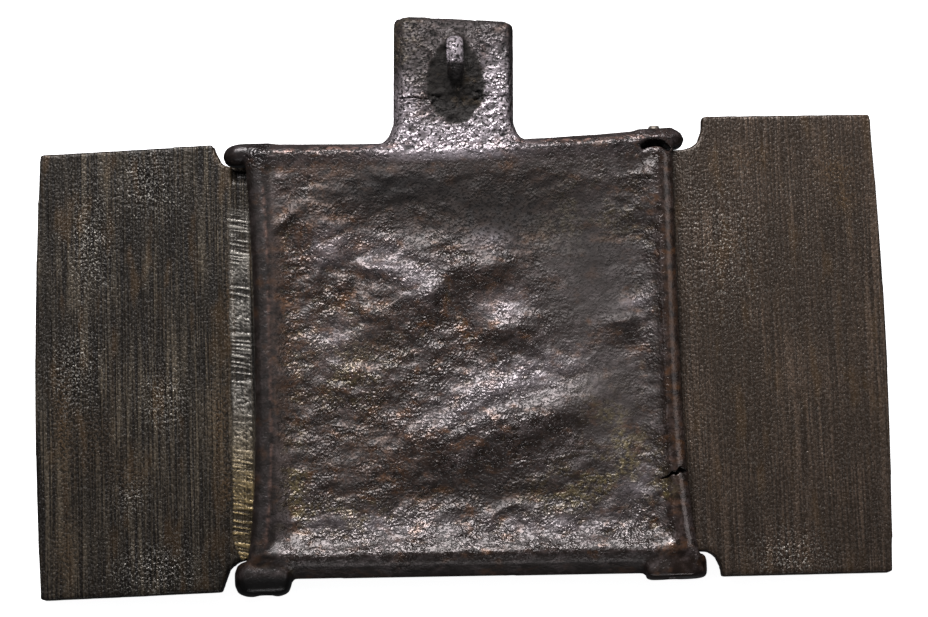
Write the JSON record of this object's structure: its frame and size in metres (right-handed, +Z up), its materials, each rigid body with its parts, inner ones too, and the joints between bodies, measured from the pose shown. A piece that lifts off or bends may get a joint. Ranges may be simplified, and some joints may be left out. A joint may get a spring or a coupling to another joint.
{
  "type": "folding icon",
  "caption": "Folding icon of cast copper alloy, lying face down with its hinged wings open, with a tab above the centre panel and a hanging loop on the tab's back.",
  "frame": {"origin": "on the resting surface, below the middle of the opened icon's box", "axes": "+X across the open wings to the right as seen from the back, +Y towards the hanging tab, +Z up towards the back"},
  "size_m": [0.1192, 0.0812, 0.0105],
  "materials": {
    "panel_bronze": "cast, dark brown patina with glossy worn high spots",
    "wing_bronze": "filed, dark olive-brown patina with pits",
    "pin_wire": "dull tarnished wire"
  },
  "bodies": {
    "centre": {"centre_panel": "panel_bronze", "left_hinge_pin": "pin_wire", "right_hinge_pin": "pin_wire"},
    "left_wing": {"left_wing": "wing_bronze"},
    "right_wing": {"right_wing": "wing_bronze"}
  },
  "joints": [
    {"name": "left_wing_fold", "type": "hinge", "parent": "centre", "child": "left_wing", "pos_m": [-0.02795, 0, 0.0023], "axis": [0, -1, 0], "range_deg": [-6, 175]},
    {"name": "right_wing_fold", "type": "hinge", "parent": "centre", "child": "right_wing", "pos_m": [0.0283, 0, 0.0023], "axis": [0, 1, 0], "range_deg": [-6, 168]}
  ]
}
